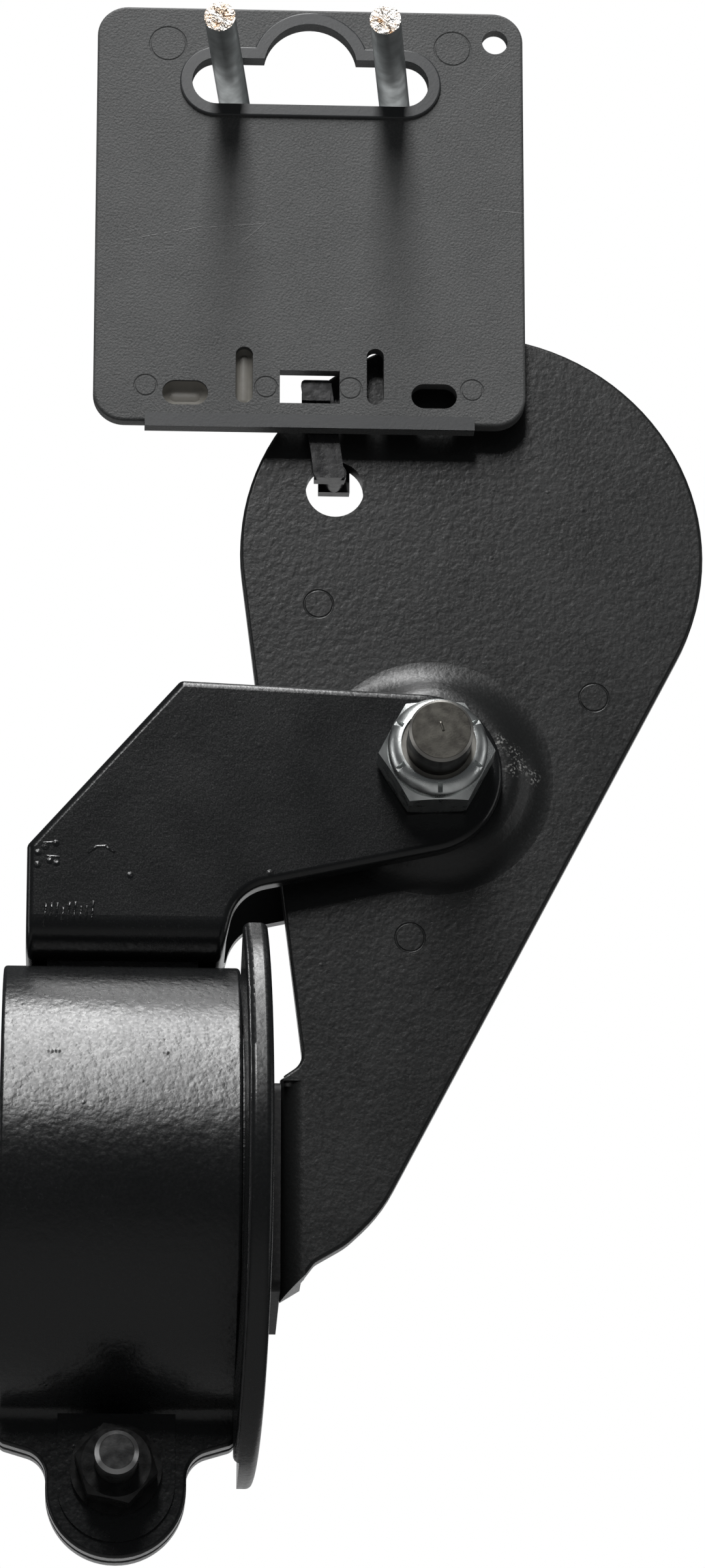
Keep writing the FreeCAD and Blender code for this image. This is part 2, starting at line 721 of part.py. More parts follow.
def tag_blank():
    """Rounded plate with the slot's raised rim and the lower lip."""
    left = tag_x - tag_width / 2
    right = left + tag_width
    top = tag_low + tag_height
    corners = [point(left, tag_low), point(right, tag_low), point(right, top), point(left, top)]
    blank = plate(rounded_edges([(corner, tag_corner) for corner in corners]), tag_front, tag_thickness)
    front = [item for item in blank.Edges if item.CenterOfMass.y < tag_front + 0.01]
    blank = blank.makeFillet(tag_edge, front)
    rim_front = tag_front - rim_height
    rim = euro_slot(rim_width, rim_front, rim_height)
    rim = rim.makeFillet(rim_edge, [item for item in rim.Edges if item.CenterOfMass.y < rim_front + 0.01])
    lip_low = tag_low - lip_below
    half = lip_length / 2
    lip = block(tag_x - half, tag_x + half, rim_front, tag_front + lip_depth, lip_low, lip_low + lip_height)
    return blank.fuse([rim, lip])


def tag_window():
    low = tag_low + window_above_base - window_height / 2
    half = window_width / 2
    back = tag_front + tag_thickness + 1
    return block(tag_x - half, tag_x + half, tag_front - 1, back, low, low + window_height)


def pin_marks():
    """Rings left by the mould's ejector pins."""
    pins = [(side * large_pin_offset, large_pin_above_base, large_pin_radius) for side in (-1, 1)]
    pins += [(offset, small_pin_above_base, small_pin_radius) for offset in small_pin_offsets]
    return [ring_mark(tag_x + offset, tag_low + above, tag_front, radius, ring_width, ring_depth)
            for offset, above, radius in pins]


def hang_tag():
    """Moulded tag: euro slot with a raised rim, window, small slots, string hole and lower lip."""
    through = tag_thickness + 2
    string_place = Vector(tag_x + string_hole_offset, tag_front - 1, tag_low + string_hole_above_base)
    holes = [euro_slot(0, tag_front - 1, through), tag_window()]
    holes.append(rod(Y_AXIS, string_place, through, string_hole_radius))
    for side in (-1, 1):
        flat_x = tag_x + side * flat_slot_offset
        tall_x = tag_x + side * tall_slot_offset
        holes.append(small_slot(flat_x, tag_low + flat_slot_above_base, flat_slot_length, flat_slot_height))
        holes.append(small_slot(tall_x, tag_low + tall_slot_above_base, tall_slot_length, tall_slot_height))
    return tag_blank().cut(holes).cut(pin_marks()).removeSplitter()


def tag_strap():
    """Strap behind the tag: from a tongue in the window down to the hook."""
    back = tag_front + tag_thickness
    top = tag_low + window_above_base + strap_above_window
    low = hook_z - hook_radius
    half = strap_width / 2
    corners = [point(strap_top_x - half, top), point(strap_top_x + half, top),
               point(strap_low_x + half, low), point(strap_low_x - half, low)]
    strip = plate(rounded_edges([(corner, strap_corner) for corner in corners]), back, strap_thickness)
    tongue_low = tag_low + window_above_base - tongue_drop
    tongue = block(strap_top_x - tongue_width / 2, strap_top_x + tongue_width / 2,
                   tag_front + tongue_setback, back, tongue_low, tongue_low + tongue_height)
    return strip.fuse(tongue).removeSplitter()


def strap_hook():
    """Hooked end: a bar back to the plate, a round peg through the hang hole and a keeper head."""
    start = tag_front + tag_thickness + strap_thickness
    front = plate_front - part_gap
    back = plate_back + part_gap
    half = strap_width / 2
    low = hook_z - hook_radius
    wide = hook_head_width / 2
    bar = block(strap_low_x - half, strap_low_x + half, start, front, low, hook_z + hook_bar_rise)
    peg = rod(Y_AXIS, Vector(hang_hole_x, front, hook_z), back - front, hook_radius)
    keeper = back + hook_head_thickness
    head = block(hang_hole_x - wide, hang_hole_x + wide, back, keeper, low, low + hook_head_height)
    return bar.fuse(peg).fuse(head).removeSplitter()


def prong_direction():
    turn = math.radians(prong_tilt)
    return Vector(math.sin(turn), math.cos(turn), 0)


def prong(side):
    """Round rod from the hanger plate to its rough-cut tip."""
    along = prong_direction()
    tilt = along.x / along.y
    x = tag_x + side * prong_spacing / 2 + tilt * (prong_tip - tag_front)
    length = (hanger_front + hanger_thickness / 2 - prong_tip) / along.y
    whole = rod(along, Vector(x, prong_tip, prong_z), length + prong_radius, prong_radius)
    seat = hanger_front + hanger_thickness / 2
    wide = hanger_screw_spacing
    high = 2 * prong_radius
    beyond = block(x - wide, x + wide, seat, seat + length, prong_z - high, prong_z + high)
    return whole.cut(beyond)


def hanger_plate():
    """Plate on the wall side with seats for both prongs and two screw holes."""
    along = prong_direction()
    middle = tag_x + along.x / along.y * (hanger_front - tag_front)
    left = middle - hanger_screw_spacing / 2 - hanger_margin
    right = middle + hanger_screw_spacing / 2 + hanger_margin
    top = prong_z + hanger_height / 2
    low = top - hanger_height
    corners = [point(left, low), point(right, low), point(right, top), point(left, top)]
    outline = rounded_edges([(corner, hanger_corner) for corner in corners])
    base = plate(outline, hanger_front, hanger_thickness)
    for side in (-1, 1):
        screw = Vector(middle + side * hanger_screw_spacing / 2, hanger_front - 1, prong_z)
        base = base.cut(rod(Y_AXIS, screw, hanger_thickness + 2, hanger_screw_radius))
        base = base.cut(prong(side))
    return base


nodes = {
    "clamp_band": clamp_band(),
    "collar_flange": collar_flange(),
    "flange_welds": flange_welds(),
    "yoke": yoke(),
    "yoke_welds": yoke_welds(),
    "clamp_bolt": clamp_bolt(),
    "clamp_nut": clamp_nut(),
    "clamp_washer_front": clamp_washer(-1),
    "clamp_washer_rear": clamp_washer(1),
    "pivot_bolt": pivot_bolt(),
    "pivot_nut": pivot_nut(),
    "pivot_nut_insert": pivot_nut_insert(),
    "pivot_washer": pivot_washer(),
    "pivot_sleeve": pivot_sleeve(),
    "pivot_spacer": pivot_spacer(),
    "friction_washer": friction_washer(),
    "swing_plate": swing_plate(),
    "pivot_bush": pivot_bush(),
    "stop_pad": stop_pad(),
    "hang_tag": hang_tag(),
    "tag_strap": tag_strap(),
    "strap_hook": strap_hook(),
    "prong_left": prong(-1),
    "prong_right": prong(1),
    "hanger_plate": hanger_plate(),
}

os.makedirs("parts", exist_ok=True)
for name, shape in nodes.items():
    solids = shape.Solids
    print(name, "solids", len(solids), "valid", shape.isValid(), "volume", round(shape.Volume, 1))
    piece = solids[0] if len(solids) == 1 else Part.makeCompound(solids)
    piece.exportStep("parts/" + name + ".step")
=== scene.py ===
import bpy
import math
from mathutils import Matrix, Vector


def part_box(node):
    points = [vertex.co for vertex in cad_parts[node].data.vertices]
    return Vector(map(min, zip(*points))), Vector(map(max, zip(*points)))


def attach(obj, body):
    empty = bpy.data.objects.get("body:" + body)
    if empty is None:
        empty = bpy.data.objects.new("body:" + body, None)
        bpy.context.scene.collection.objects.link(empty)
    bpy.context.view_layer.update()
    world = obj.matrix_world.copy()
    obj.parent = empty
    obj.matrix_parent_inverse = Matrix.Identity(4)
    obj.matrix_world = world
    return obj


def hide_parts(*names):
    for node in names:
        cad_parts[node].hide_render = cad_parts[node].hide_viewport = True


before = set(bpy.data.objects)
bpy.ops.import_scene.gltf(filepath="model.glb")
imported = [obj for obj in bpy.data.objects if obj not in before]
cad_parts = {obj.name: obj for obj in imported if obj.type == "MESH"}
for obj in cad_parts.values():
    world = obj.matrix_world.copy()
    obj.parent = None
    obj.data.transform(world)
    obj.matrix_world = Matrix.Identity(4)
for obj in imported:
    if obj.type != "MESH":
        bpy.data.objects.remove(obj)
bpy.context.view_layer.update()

# ---------------------------------------------------------------- camera
# Long lens a little over a metre away, below the bracket and looking up at it,
# slightly from the clamp's open side.
lens_length = 134.83
sensor_width = 36.0
nearest_seen = 0.05
farthest_seen = 20.0
camera_distance = 1.100
camera_aim = Vector((0.0427, -0.0180, 0.0747))
camera_line = Vector((0.0451, 0.9552, 0.2924)).normalized()
camera_data = bpy.data.cameras.new("camera")
camera_data.lens = lens_length
camera_data.sensor_width = sensor_width
camera_data.clip_start = nearest_seen
camera_data.clip_end = farthest_seen
camera = bpy.data.objects.new("camera", camera_data)
bpy.context.scene.collection.objects.link(camera)
camera.location = camera_aim - camera_distance * camera_line
camera.rotation_euler = camera_line.to_track_quat("-Z", "Y").to_euler()
bpy.context.scene.camera = camera
bpy.context.scene.view_settings.view_transform = "Standard"

# ---------------------------------------------------------------- light and floor
# One long soft box reaching from in front of the bracket to above it, pale cards at both
# sides and behind, a dim room and a pale floor well below, because the bracket hangs.
def soft_box(name, place, aim, width, height, power):
    """A rectangular light turned towards aim; sizes in metres, power in watts."""
    data = bpy.data.lights.new(name, "AREA")
    data.shape = "RECTANGLE"
    data.size = width
    data.size_y = height
    data.energy = power
    box = bpy.data.objects.new(name, data)
    box.location = Vector(place)
    box.rotation_euler = (Vector(aim) - Vector(place)).to_track_quat("-Z", "Y").to_euler()
    box.visible_camera = False
    bpy.context.scene.collection.objects.link(box)


clamp_middle = (0.03, -0.02, 0.08)
bracket_middle = (0.03, -0.02, 0.10)
soft_box("overhead_box", (-0.06, -0.75, 1.50), clamp_middle, 0.28, 2.30, 42.0)
soft_box("left_card", (-1.50, -0.20, 0.10), bracket_middle, 0.5, 1.2, 2.4)
soft_box("right_card", (1.55, -0.20, 0.10), bracket_middle, 0.5, 1.2, 1.6)
soft_box("rear_card", (0.05, 1.60, -0.30), bracket_middle, 2.4, 2.0, 9.0)

backdrop_white = (1.0, 1.0, 1.0, 1.0)
room_tint = (0.93, 0.97, 1.0, 1.0)
room_strength = 0.055
room = bpy.data.worlds.new("room")
room.use_nodes = True
bpy.context.scene.world = room
room_tree = room.node_tree
room_tree.nodes.clear()
backdrop = room_tree.nodes.new("ShaderNodeBackground")
backdrop.inputs["Color"].default_value = backdrop_white
dim_room = room_tree.nodes.new("ShaderNodeBackground")
dim_room.inputs["Color"].default_value = room_tint
dim_room.inputs["Strength"].default_value = room_strength
seen_directly = room_tree.nodes.new("ShaderNodeLightPath")
either_room = room_tree.nodes.new("ShaderNodeMixShader")
room_out = room_tree.nodes.new("ShaderNodeOutputWorld")
room_tree.links.new(seen_directly.outputs["Is Camera Ray"], either_room.inputs["Fac"])
room_tree.links.new(dim_room.outputs[0], either_room.inputs[1])
room_tree.links.new(backdrop.outputs[0], either_room.inputs[2])
room_tree.links.new(either_room.outputs[0], room_out.inputs["Surface"])

floor_size = 6.0
floor_height = -1.10
floor_grey = (0.40, 0.40, 0.40, 1.0)
floor_roughness = 0.8
bpy.ops.object.select_all(action="DESELECT")
bpy.ops.mesh.primitive_plane_add(size=floor_size, location=(0.0, 0.0, floor_height))
floor = bpy.context.object
floor.name = "floor"
floor_paint = bpy.data.materials.new("floor_paint")
floor_paint.use_nodes = True
floor_shader = floor_paint.node_tree.nodes["Principled BSDF"]
floor_shader.inputs["Base Color"].default_value = floor_grey
floor_shader.inputs["Roughness"].default_value = floor_roughness
floor.data.materials.append(floor_paint)

# ---------------------------------------------------------------- clamp band
# Steel strip bent round the tube, with its two ends turned down as bolting ears.
# Powder coated black: orange-peel skin, a few pimples and three small nubs in front.
mm = 0.001


def node(tree, kind, **settings):
    """A shader node: capitalised settings are its sockets, the others its own options."""
    made = tree.nodes.new("ShaderNode" + kind)
    for name, value in settings.items():
        if name[0].isupper():
            made.inputs[name.replace("_", " ")].default_value = value
        else:
            setattr(made, name, value)
    return made


def sums(tree, operation, first, second=0.0):
    """One arithmetic step on two numbers or sockets."""
    made = node(tree, "Math", operation=operation)
    for socket, value in zip(made.inputs, (first, second)):
        if isinstance(value, (int, float)):
            socket.default_value = value
        else:
            tree.links.new(value, socket)
    return made.outputs[0]


def between(tree, value, low, high, start=0.0, end=1.0):
    """Goes from start to end as the value goes from low to high, and is held outside that."""
    made = node(tree, "MapRange", From_Min=low, From_Max=high, To_Min=start, To_Max=end)
    tree.links.new(value, made.inputs["Value"])
    return made.outputs["Result"]


def two_colours(tree, amount, first, second):
    """Mixes two colours by an amount from 0 to 1; sockets 6, 7 and 2 are the node's colour ones."""
    made = node(tree, "Mix", data_type="RGBA")
    for socket, value in ((made.inputs[0], amount), (made.inputs[6], first), (made.inputs[7], second)):
        if isinstance(value, tuple):
            socket.default_value = (*value, 1.0)
        else:
            tree.links.new(value, socket)
    return made.outputs[2]


def start_finish(name, colour, roughness, metallic=0.0):
    """A material with its main shader; returns it with its tree, shader and place on the piece."""
    material = bpy.data.materials.new(name)
    material.use_nodes = True
    tree = material.node_tree
    shader = tree.nodes["Principled BSDF"]
    shader.inputs["Base Color"].default_value = (*colour, 1.0)
    shader.inputs["Roughness"].default_value = roughness
    shader.inputs["Metallic"].default_value = metallic
    place = node(tree, "Mapping")
    tree.links.new(node(tree, "TexCoord").outputs["Object"], place.inputs["Vector"])
    return material, tree, shader, place.outputs["Vector"]


def speckle(tree, place, size, detail=2.0, stretch=(1.0, 1.0, 1.0)):
    """Cloudy noise whose blobs are about size across."""
    drawn_out = node(tree, "Mapping", Scale=stretch)
    tree.links.new(place, drawn_out.inputs["Vector"])
    made = node(tree, "TexNoise", Scale=1.0 / size, Detail=detail)
    tree.links.new(drawn_out.outputs["Vector"], made.inputs["Vector"])
    return made.outputs["Fac"]


def pimples(tree, place, spacing, radius):
    """Small round bumps scattered about spacing apart, half of the places left empty."""
    made = node(tree, "TexVoronoi", Scale=1.0 / spacing)
    tree.links.new(place, made.inputs["Vector"])
    dot = between(tree, made.outputs["Distance"], radius / spacing, 0.0)
    shade = node(tree, "SeparateColor")
    tree.links.new(made.outputs["Color"], shade.inputs[0])
    return sums(tree, "MULTIPLY", dot, between(tree, shade.outputs[0], 0.55, 0.60))


def spots(tree, place, points, radius, soft):
    """1 within radius of any of the points, in millimetres, fading to 0 over the soft width."""
    total = 0.0
    for point in points:
        made = node(tree, "VectorMath", operation="DISTANCE")
        made.inputs[1].default_value = [value * mm for value in point]
        tree.links.new(place, made.inputs[0])
        inside = between(tree, made.outputs["Value"], (radius + soft) * mm, radius * mm)
        total = sums(tree, "ADD", total, inside)
    return total


def strokes(tree, place, lines):
    """1 on thin lines seen from the front: middle x and z, length and width in mm, slope in degrees."""
    total = 0.0
    for x, z, length, width, slope in lines:
        along = node(tree, "Mapping", vector_type="TEXTURE", Location=(x * mm, 0.0, z * mm))
        along.inputs["Rotation"].default_value = (0.0, math.radians(-slope), 0.0)
        tree.links.new(place, along.inputs["Vector"])
        parts = node(tree, "SeparateXYZ")
        tree.links.new(along.outputs["Vector"], parts.inputs[0])
        reach = between(tree, sums(tree, "ABSOLUTE", parts.outputs[0]), length / 2 * mm, length / 3 * mm)
        thin = between(tree, sums(tree, "ABSOLUTE", parts.outputs[2]), width / 2 * mm, width / 5 * mm)
        total = sums(tree, "ADD", total, sums(tree, "MULTIPLY", reach, thin))
    return total


def press_relief(tree, shader, height, depth, under=None):
    """Turns a height from 0 to 1 into relief of that depth, in metres, over any relief below it."""
    made = node(tree, "Bump", Strength=1.0, Distance=depth)
    tree.links.new(height, made.inputs["Height"])
    if under is not None:
        tree.links.new(under, made.inputs["Normal"])
    tree.links.new(made.outputs["Normal"], shader.inputs["Normal"])
    return made.outputs["Normal"]


def powder_coat(name, gloss, peel_size, peel_depth, colour=(0.0085, 0.009, 0.0095)):
    """Black powder coat; returns its material, tree, main shader, place, relief and colour."""
    fine_size = 0.36 * peel_size
    patch_size = 14 * mm
    dust_size = 0.5 * mm
    pimple_spacing = 5.5 * mm
    pimple_radius = 0.45 * mm
    pimple_share = 0.45
    dusty = (0.06, 0.062, 0.065)
    material, tree, shader, place = start_finish(name, colour, gloss)
    peel = speckle(tree, place, peel_size, 1.5)
    fine = speckle(tree, place, fine_size, 1.0)
    patchy = speckle(tree, place, patch_size, 3.0)
    dots = pimples(tree, place, pimple_spacing, pimple_radius)
    skin = sums(tree, "ADD", sums(tree, "MULTIPLY", peel, 0.75), sums(tree, "MULTIPLY", fine, 0.25))
    skin = sums(tree, "ADD", skin, sums(tree, "MULTIPLY", dots, pimple_share))
    relief = press_relief(tree, shader, skin, peel_depth)
    shine = between(tree, fine, 0.3, 0.7, gloss - 0.04, gloss + 0.05)
    shine = sums(tree, "ADD", shine, between(tree, patchy, 0.3, 0.7, -0.025, 0.025))
    tree.links.new(shine, shader.inputs["Roughness"])
    dust = between(tree, speckle(tree, place, dust_size, 3.0), 0.60, 0.78, 0.0, 0.45)
    dust = sums(tree, "MULTIPLY", dust, between(tree, patchy, 0.45, 0.7))
    shade = two_colours(tree, dust, colour, dusty)
    tree.links.new(shade, shader.inputs["Base Color"])
    return material, tree, shader, place, relief, shade


def wear(part, material):
    """Gives a CAD part its finish."""
    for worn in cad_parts[part].material_slots:
        worn.material = material


nub_places = ((-12.9, -38.4, 17.2), (-11.6, -38.4, 17.3), (8.0, -38.4, 17.1))
nub_height = 0.08 * mm
band_coat, band_tree, band_shader, band_place, band_relief = powder_coat(
    "band_coat", 0.29, 1.7 * mm, 0.13 * mm)[:5]
nubs = spots(band_tree, band_place, nub_places, 0.1, 0.50)
press_relief(band_tree, band_shader, nubs, nub_height, band_relief)
wear("clamp_band", band_coat)

# ---------------------------------------------------------------- collar flange and welds
# C-shaped plate standing round the band's right edge, welded to it along the seam.
# The coat is smoother and shinier on its sheared rim than on the band.
collar_coat = powder_coat("collar_coat", 0.27, 1.6 * mm, 0.05 * mm)[0]
wear("collar_flange", collar_coat)
weld_coat = powder_coat("weld_coat", 0.34, 0.9 * mm, 0.20 * mm)[0]
wear("flange_welds", weld_coat)
wear("yoke_welds", weld_coat)

# ---------------------------------------------------------------- burr on the collar
# Rough line of shearing burr under the coat, along the left edge of the collar's rim.
# A thin ring, cut to the collar's arc, made uneven and leaned over with the collar.
collar_radius = 55.0 * mm
collar_lean = 2.0
collar_seam = 0.65 * mm
collar_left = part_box("clamp_band")[1].x + collar_seam
burr_radius = 0.30 * mm
burr_inset = 0.42 * mm
burr_unevenness = 0.13 * mm
collar_arc = (40.0, 165.0)
bpy.ops.object.select_all(action="DESELECT")
bpy.ops.mesh.primitive_torus_add(
    major_segments=420, minor_segments=8,
    major_radius=collar_radius - burr_inset, minor_radius=burr_radius,
    location=(collar_left + burr_inset, 0.0, 0.0), rotation=(0.0, math.pi / 2, 0.0))
burr = bpy.context.object
burr.name = "collar_burr"
bpy.ops.object.transform_apply(location=True, rotation=True, scale=True)
bpy.ops.object.mode_set(mode="EDIT")
for end, outwards in zip(collar_arc, (-1, 1)):
    bpy.ops.mesh.select_all(action="SELECT")
    turn = math.radians(end)
    away = Vector((0.0, -math.cos(turn), -math.sin(turn))) * outwards
    bpy.ops.mesh.bisect(plane_co=(collar_left, 0.0, 0.0), plane_no=away, use_fill=True, clear_outer=True)
bpy.ops.mesh.select_all(action="SELECT")
bpy.ops.transform.vertex_random(offset=burr_unevenness, uniform=0.2, seed=7)
bpy.ops.mesh.normals_make_consistent(inside=False)
bpy.ops.object.mode_set(mode="OBJECT")
smooth_burr = burr.modifiers.new("rounded", "SUBSURF")
smooth_burr.levels = smooth_burr.render_levels = 1
bpy.ops.object.modifier_apply(modifier="rounded")
hinge_line = Vector((collar_left, -collar_radius, 0.0))
lean = Matrix.Rotation(math.radians(collar_lean), 4, "Z")
burr.data.transform(Matrix.Translation(hinge_line) @ lean @ Matrix.Translation(-hinge_line))
bpy.ops.object.shade_smooth()
burr_coat = powder_coat("burr_coat", 0.22, 0.8 * mm, 0.10 * mm, (0.02, 0.02, 0.021))[0]
burr.data.materials.append(burr_coat)
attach(burr, "clamp")

# ---------------------------------------------------------------- yoke
# Press-bent channel on top of the band, with its two arms reaching out to the pivot.
# Knocks near its left corner, rubbed lines where the press brake's die ran.
mark_depth = 0.11 * mm
yoke_coat, yoke_tree, yoke_shader, yoke_place, yoke_relief = powder_coat(
    "yoke_coat", 0.22, 0.85 * mm, 0.030 * mm)[:5]
knocks = ((-14.6, -16.5, 62.1), (-12.6, -16.5, 62.8), (-13.7, -16.5, 59.4), (-12.5, -16.5, 59.0),
          (-16.0, -16.5, 58.6), (-15.9, -16.5, 61.0), (27.4, -16.7, 57.6), (1.3, -16.3, 56.8))
die_lines = [(-14.5 + 1.1 * step, 49.0 + 0.3 * (step % 3), 4.5 - 0.5 * (step % 4), 0.5, 84.0)
             for step in range(9)]
crescents = [(-5.9, 61.6, 2.0, 0.6, 35.0), (-4.2, 62.3, 2.2, 0.6, 3.0), (-2.4, 61.7, 2.0, 0.6, -33.0),
             (-13.6, 62.9, 3.0, 0.6, 5.0), (-13.1, 60.2, 2.6, 0.5, -4.0)]
yoke_marks = sums(yoke_tree, "ADD", spots(yoke_tree, yoke_place, knocks, 0.1, 0.6),
                  strokes(yoke_tree, yoke_place, die_lines + crescents))
yoke_marks = sums(yoke_tree, "MULTIPLY", yoke_marks, between(
    yoke_tree, speckle(yoke_tree, yoke_place, 1.1 * mm), 0.3, 0.6, 0.3, 1.0))
press_relief(yoke_tree, yoke_shader, yoke_marks, mark_depth, yoke_relief)
wear("yoke", yoke_coat)

# ---------------------------------------------------------------- swing plate
# Cam-shaped plate with a pressed boss round the pivot; its coat is flatter and coarser.
# The coat is rubbed through in a few small spots beside the nut.
bare_grey = (0.30, 0.30, 0.29)
rubbed_spots = ((73.5, -11.0, 83.3), (75.0, -10.5, 81.0), (77.4, -9.5, 79.2),
                (70.6, -12.0, 85.2), (73.2, -11.2, 80.0))
plate_coat, plate_tree, plate_shader, plate_place, _, plate_shade = powder_coat(
    "plate_coat", 0.33, 1.2 * mm, 0.075 * mm, (0.012, 0.0125, 0.0125))
rubbed = sums(plate_tree, "MULTIPLY", spots(plate_tree, plate_place, rubbed_spots, 0.3, 1.8),
              between(plate_tree, speckle(plate_tree, plate_place, 0.5 * mm, 3.0), 0.52, 0.62))
plate_tree.links.new(two_colours(plate_tree, rubbed, plate_shade, bare_grey),
                     plate_shader.inputs["Base Color"])
wear("swing_plate", plate_coat)

# ---------------------------------------------------------------- black screws, nut and washers
# Blackened steel, a little brown with oil and cloudy where it has been handled; the bolt ends' chamfer rings
# carry a painted highlight.
def blackened_steel(name, colour, roughness):
    """Blackened steel; returns its material, tree, main shader, place and relief."""
    cloud_size = 2.2 * mm
    grain_size = 0.35 * mm
    grain_depth = 0.012 * mm
    material, tree, shader, place = start_finish(name, colour, roughness, 0.85)
    cloudy = speckle(tree, place, cloud_size, 3.0)
    lighter = tuple(1.7 * value for value in colour)
    shade = two_colours(tree, between(tree, cloudy, 0.35, 0.7), colour, lighter)
    tree.links.new(shade, shader.inputs["Base Color"])
    shine = between(tree, cloudy, 0.3, 0.7, roughness - 0.05, roughness + 0.08)
    tree.links.new(shine, shader.inputs["Roughness"])
    relief = press_relief(tree, shader, speckle(tree, place, grain_size), grain_depth)
    return material, tree, shader, place, relief


def bare_end(tree, place, end, tip_length, tip_fade, chamfer_length, chamfer_fade):
    """Two amounts on a bolt that ends in front at end: its tip, and the chamfer round its flat face."""
    axes = node(tree, "SeparateXYZ")
    tree.links.new(place, axes.inputs[0])
    back = axes.outputs[1]
    tip = between(tree, back, end + tip_length, end + tip_length - tip_fade)
    flat = between(tree, back, end + chamfer_length, end + chamfer_length - chamfer_fade)
    return tip, sums(tree, "SUBTRACT", tip, flat)


pivot_steel, pivot_tree, pivot_shader, pivot_place, pivot_relief = blackened_steel(
    "pivot_bolt_steel", (0.060, 0.055, 0.048), 0.36)
score_line = (58.3, 79.9, 2.0, 0.5, -72.0)
score_depth = 0.15 * mm
pivot_thread = (0.022, 0.021, 0.020)
pivot_oiled = (0.060, 0.056, 0.050)
pivot_dry = (0.12, 0.115, 0.10)
# Pale grey painted highlight for the chamfer ring round the bolt end's flat face.
pivot_painted_highlight = (0.32, 0.31, 0.29)
press_relief(pivot_tree, pivot_shader, strokes(pivot_tree, pivot_place, (score_line,)),
             score_depth, pivot_relief)
end_face, pivot_highlight_ring = bare_end(pivot_tree, pivot_place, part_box("pivot_bolt")[0].y,
                                  0.75 * mm, 0.20 * mm, 0.12 * mm, 0.08 * mm)
end_cloud = between(pivot_tree, speckle(pivot_tree, pivot_place, 2.4 * mm, 4.0), 0.35, 0.7)
end_shade = two_colours(pivot_tree, end_cloud, pivot_oiled, pivot_dry)
pivot_shade = two_colours(pivot_tree, end_face, pivot_thread, end_shade)
# The chamfer ring is coloured with the pale painted highlight.
pivot_shade = two_colours(pivot_tree, pivot_highlight_ring, pivot_shade, pivot_painted_highlight)
pivot_tree.links.new(pivot_shade, pivot_shader.inputs["Base Color"])
wear("pivot_bolt", pivot_steel)

clamp_steel = blackened_steel("clamp_nut_steel", (0.030, 0.030, 0.030), 0.30)[0]
for part in ("clamp_nut", "clamp_washer_front", "clamp_washer_rear"):
    wear(part, clamp_steel)
screw_steel, screw_tree, screw_shader, screw_place = blackened_steel(
    "clamp_bolt_steel", (0.045, 0.045, 0.045), 0.30)[:4]
screw_thread = (0.05, 0.05, 0.05)
screw_dark = (0.06, 0.06, 0.06)
screw_light = (0.13, 0.13, 0.13)
# Pale grey painted highlight for the chamfer ring round the bolt end's flat face.
screw_painted_highlight = (0.36, 0.36, 0.36)
screw_face, screw_highlight_ring = bare_end(screw_tree, screw_place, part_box("clamp_bolt")[0].y,
                                     1.2 * mm, 0.3 * mm, 0.15 * mm, 0.10 * mm)
screw_cloud = between(screw_tree, speckle(screw_tree, screw_place, 1.6 * mm, 4.0), 0.3, 0.7)
screw_shade = two_colours(screw_tree, screw_cloud, screw_dark, screw_light)
screw_shade = two_colours(screw_tree, screw_face, screw_thread, screw_shade)
# The chamfer ring is coloured with the pale painted highlight.
screw_shade = two_colours(screw_tree, screw_highlight_ring, screw_shade, screw_painted_highlight)
screw_tree.links.new(screw_shade, screw_shader.inputs["Base Color"])
wear("clamp_bolt", screw_steel)

# ---------------------------------------------------------------- zinc lock nut and pivot pieces
# Bright zinc plate, slightly clouded, with fine turning lines.
def zinc_plate(name, colour, roughness, cloud_size, darkest):
    """Clouded metal, as dark in its clouds as darkest times its colour."""
    turning_size = 0.3 * mm
    turning_depth = 0.02 * mm
    material, tree, shader, place = start_finish(name, colour, roughness, 1.0)
    cloudy = speckle(tree, place, cloud_size, 4.0)
    darker = tuple(darkest * value for value in colour)
    shade = two_colours(tree, between(tree, cloudy, 0.35, 0.75), colour, darker)
    tree.links.new(shade, shader.inputs["Base Color"])
    shine = between(tree, cloudy, 0.3, 0.7, roughness - 0.05, roughness + 0.12)
    tree.links.new(shine, shader.inputs["Roughness"])
    turning = speckle(tree, place, turning_size, 2.0, (1.0, 3.0, 1.0))
    press_relief(tree, shader, turning, turning_depth)
    return material


nut_zinc = zinc_plate("nut_zinc", (0.88, 0.91, 0.90), 0.27, 2.6 * mm, 0.8)
for part in ("pivot_nut", "pivot_washer", "pivot_sleeve", "pivot_spacer"):
    wear(part, nut_zinc)

# ---------------------------------------------------------------- plain bearings
# Nylon ring in the lock nut, nylon friction washer and sintered bronze bush.
nylon, nylon_tree, nylon_shader, nylon_place = start_finish("nylon_skin", (0.30, 0.29, 0.26), 0.5)
nylon_cloud = speckle(nylon_tree, nylon_place, 1.5 * mm, 3.0)
nylon_tree.links.new(two_colours(nylon_tree, nylon_cloud, (0.20, 0.19, 0.17), (0.34, 0.33, 0.30)),
                     nylon_shader.inputs["Base Color"])
press_relief(nylon_tree, nylon_shader, speckle(nylon_tree, nylon_place, 0.5 * mm), 0.02 * mm)
wear("pivot_nut_insert", nylon)
wear("friction_washer", nylon)
wear("pivot_bush", zinc_plate("bush_bronze", (0.50, 0.31, 0.14), 0.42, 0.7 * mm, 0.45))

# ---------------------------------------------------------------- stop pad
# Moulded rubber buffer stuck to the plate's bent flange, dull and slightly dusty.
pad_skin, pad_tree, pad_shader, pad_place = start_finish("pad_skin", (0.012, 0.012, 0.013), 0.6)
pad_dust = between(pad_tree, speckle(pad_tree, pad_place, 0.7 * mm, 4.0), 0.5, 0.8)
pad_tree.links.new(two_colours(pad_tree, pad_dust, (0.010, 0.010, 0.011), (0.035, 0.034, 0.032)),
                   pad_shader.inputs["Base Color"])
press_relief(pad_tree, pad_shader, speckle(pad_tree, pad_place, 0.8 * mm, 3.0), 0.05 * mm)
wear("stop_pad", pad_skin)

